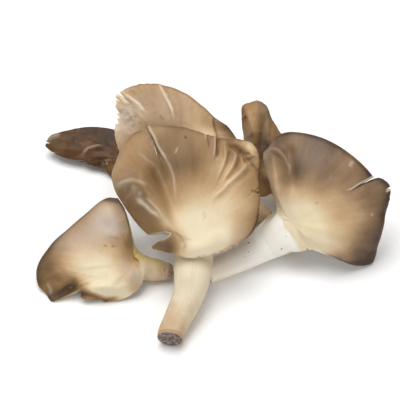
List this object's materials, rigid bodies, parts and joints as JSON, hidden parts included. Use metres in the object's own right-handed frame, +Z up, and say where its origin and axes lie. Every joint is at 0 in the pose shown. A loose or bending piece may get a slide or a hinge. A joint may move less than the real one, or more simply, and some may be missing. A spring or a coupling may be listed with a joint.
{
  "type": "oyster mushroom cluster",
  "caption": "Loose heap of picked oyster mushrooms with fan-shaped caps, running gills and off-centre stems, for use as food or kitchen set dressing.",
  "frame": {"origin": "on the supporting surface, under the middle of the heap's box", "axes": "+Z up, +X to the right and +Y to the back as the heap is seen from the side of the central foot"},
  "size_m": [0.2056, 0.1576, 0.0711],
  "materials": {
    "centre_mushroom": "smooth damp mushroom flesh, tan brown cap with a cream heart, cream gills and stem",
    "right_mushroom": "smooth damp mushroom flesh, grey brown cap with a dark rim, cream gills and stem",
    "left_mushroom": "smooth damp mushroom flesh, pale tan cap with a brown rim, cream gills and stem",
    "back_mushroom": "smooth damp mushroom flesh, pale tan cap with fine streaks, cream gills and stem",
    "far_left_mushroom": "matte mushroom flesh, dark brown streaked cap, cream gills and stem",
    "back_right_mushroom": "smooth damp mushroom flesh, brown furled cap, cream gills and stem"
  },
  "bodies": {
    "root": {"centre_mushroom": "centre_mushroom", "right_mushroom": "right_mushroom", "left_mushroom": "left_mushroom", "back_mushroom": "back_mushroom", "far_left_mushroom": "far_left_mushroom", "back_right_mushroom": "back_right_mushroom"}
  },
  "joints": []
}
